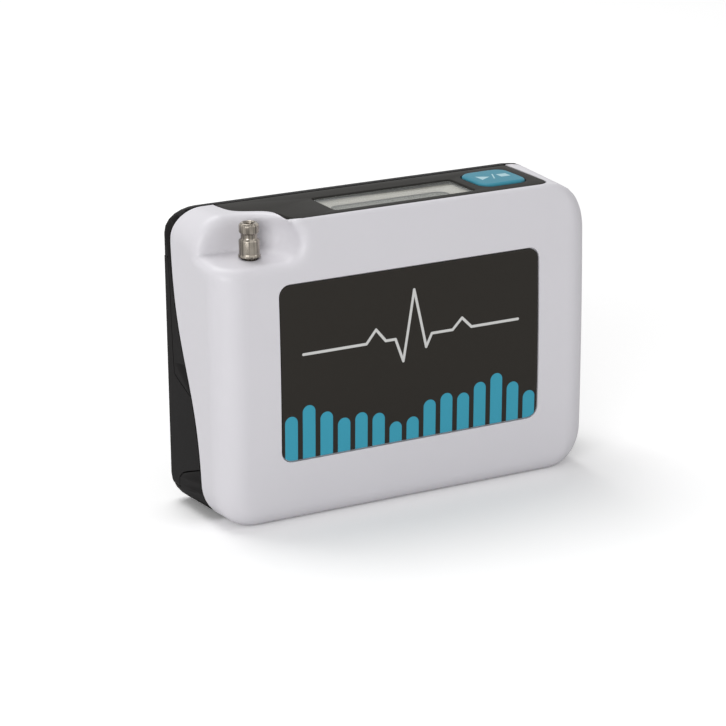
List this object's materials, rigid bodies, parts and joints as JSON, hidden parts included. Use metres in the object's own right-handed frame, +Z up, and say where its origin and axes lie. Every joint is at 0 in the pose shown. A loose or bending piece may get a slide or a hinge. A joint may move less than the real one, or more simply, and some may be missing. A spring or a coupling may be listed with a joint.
{
  "type": "ambulatory blood pressure monitor",
  "caption": "Pocket sized recorder box with a scooped corner for an air hose nipple, a display window and push button on top, a blank front label and a hooked battery cover.",
  "frame": {"origin": "bottom centre of the whole object, on the surface that it stands on", "axes": "+Z up, the label faces -Y, +X to the right seen from the front"},
  "size_m": [0.097, 0.0296, 0.0715],
  "materials": {
    "white_plastic": "fine matt moulded white",
    "dark_plastic": "fine matt moulded dark grey",
    "panel_plastic": "satin dark grey",
    "label_film": "satin dark film",
    "blank_label": "blank matt label",
    "teal_rubber": "matt teal elastomer",
    "clear_plastic": "clear polished window",
    "pale_plastic": "pale matt",
    "display_glass": "grey display glass",
    "nickel": "bright nickel plate",
    "steel": "plain steel",
    "dark_metal": "dark sintered metal",
    "brass": "turned brass",
    "copper": "lacquered copper winding",
    "circuit_board": "green solder mask",
    "black_plastic": "black moulded",
    "black_rubber": "matt black rubber",
    "silicone": "milky silicone",
    "cell_sleeve": "plain blue sleeve"
  },
  "bodies": {
    "case": {"front_shell": "white_plastic", "rear_shell": "dark_plastic", "top_panel": "panel_plastic", "front_label": "label_film", "rating_label": "blank_label", "display_lens": "clear_plastic", "hose_nipple": "nickel", "aa_cell_1": "cell_sleeve", "aa_cell_2": "cell_sleeve", "case_screw_1": "steel", "case_screw_2": "steel", "case_screw_3": "steel", "case_screw_4": "steel", "deflate_valve_spring": "steel", "safety_valve_spring": "steel", "air_manifold": "pale_plastic", "backup_cell": "steel", "battery_link": "nickel", "battery_plate": "nickel", "battery_spring_1": "steel", "battery_spring_2": "steel", "beeper": "black_plastic", "check_pressure_sensor": "pale_plastic", "contact_strip": "black_rubber", "cuff_hose": "silicone", "cuff_pressure_sensor": "pale_plastic", "data_port": "steel", "deflate_valve_cap": "black_plastic", "deflate_valve_coil": "copper", "deflate_valve_yoke": "steel", "display_board": "circuit_board", "display_frame": "pale_plastic", "display_ribbon": "copper", "lcd_glass": "display_glass", "main_board": "circuit_board", "main_chip": "black_plastic", "motor_can": "steel", "motor_end_cap": "black_plastic", "motor_magnets": "dark_metal", "motor_ring": "black_rubber", "nipple_nut": "nickel", "nipple_seal": "black_rubber", "pump_cover": "black_plastic", "pump_crankcase": "black_plastic", "pump_diaphragm": "black_rubber", "pump_drive_plate": "black_plastic", "pump_hose": "silicone", "pump_valve_plate": "pale_plastic", "push_switch": "steel", "safety_valve_cap": "black_plastic", "safety_valve_coil": "copper", "safety_valve_yoke": "steel"},
    "start_button": {"start_stop_button": "teal_rubber", "switch_stem": "black_plastic"},
    "door": {"battery_door": "dark_plastic"},
    "pump_rotor": {"motor_shaft": "steel", "motor_armature": "dark_metal", "pump_eccentric": "brass"},
    "deflate_plunger": {"deflate_valve_plunger": "steel"},
    "safety_plunger": {"safety_valve_plunger": "steel"}
  },
  "joints": [
    {"name": "start_button_press", "type": "slide", "parent": "case", "child": "start_button", "axis": [0, 0, -1], "range_m": [0, 0.0005], "stiffness_N_per_m": 400, "springref_m": -0.0003},
    {"name": "battery_door_swing", "type": "hinge", "parent": "case", "child": "door", "pos_m": [-0.01455, 0.0148, 0.0317], "axis": [0, 0, -1], "range_deg": [0, 50]},
    {"name": "pump_rotor_turn", "type": "hinge", "parent": "case", "child": "pump_rotor", "pos_m": [0.0325, 0.0015, 0.024], "axis": [0, 0, 1], "continuous": true},
    {"name": "deflate_plunger_lift", "type": "slide", "parent": "case", "child": "deflate_plunger", "axis": [0, 0, 1], "range_m": [0, 0.0006], "stiffness_N_per_m": 100, "springref_m": -0.001, "deforming": ["deflate_valve_spring"]},
    {"name": "safety_plunger_lift", "type": "slide", "parent": "case", "child": "safety_plunger", "axis": [0, 0, 1], "range_m": [0, 0.0006], "stiffness_N_per_m": 100, "springref_m": -0.001, "deforming": ["safety_valve_spring"]}
  ]
}
